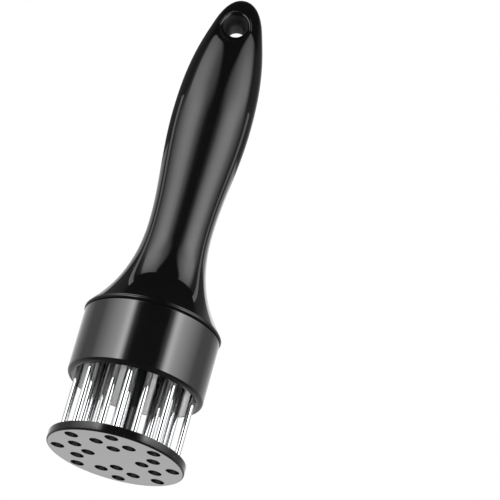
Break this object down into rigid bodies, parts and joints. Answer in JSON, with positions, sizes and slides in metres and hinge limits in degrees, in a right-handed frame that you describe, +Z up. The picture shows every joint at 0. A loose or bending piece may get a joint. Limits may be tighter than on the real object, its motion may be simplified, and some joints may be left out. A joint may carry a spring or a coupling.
{
  "type": "blade meat tenderizer",
  "caption": "Press-down meat tenderizer: black handle and barrel over rings of steel needle blades, with a sprung round guard plate that slides up when it is pressed.",
  "frame": {"origin": "centre of the guard plate's flat underside, which the tool stands on", "axes": "+Z up the handle from the guard plate to the tip; the hang hole runs along Y; the blade pattern is lined up with X and Y"},
  "size_m": [0.0524, 0.0524, 0.1928],
  "materials": {
    "gloss_black": "high gloss moulded black",
    "satin_black": "black lacquer outside, satin grey metal inside",
    "guard_black": "high gloss moulded black",
    "inner_black": "moulded black",
    "blade_steel": "mirror polished stainless steel",
    "plate_steel": "brushed stainless steel",
    "spring_steel": "drawn spring wire",
    "zinc": "bright zinc plating"
  },
  "bodies": {
    "guard": {"guard_plate": "guard_black", "guide_post": "inner_black", "stop_washer": "zinc", "stop_screw": "zinc"},
    "head": {"handle": "gloss_black", "barrel": "satin_black", "blade_carrier": "inner_black", "backing_plate": "plate_steel", "plate_screws": "zinc", "carrier_screws": "zinc", "guide_bush": "inner_black", "spring_seat": "zinc", "return_spring": "spring_steel", "blade_01": "blade_steel", "blade_02": "blade_steel", "blade_03": "blade_steel", "blade_04": "blade_steel", "blade_05": "blade_steel", "blade_06": "blade_steel", "blade_07": "blade_steel", "blade_08": "blade_steel", "blade_09": "blade_steel", "blade_10": "blade_steel", "blade_11": "blade_steel", "blade_12": "blade_steel", "blade_13": "blade_steel", "blade_14": "blade_steel", "blade_15": "blade_steel", "blade_16": "blade_steel", "blade_17": "blade_steel", "blade_18": "blade_steel", "blade_19": "blade_steel", "blade_20": "blade_steel"}
  },
  "joints": [
    {"name": "press", "type": "slide", "parent": "guard", "child": "head", "axis": [0, 0, -1], "range_m": [0, 0.0232], "stiffness_N_per_m": 450, "springref_m": -0.02, "deforming": ["return_spring"]}
  ]
}
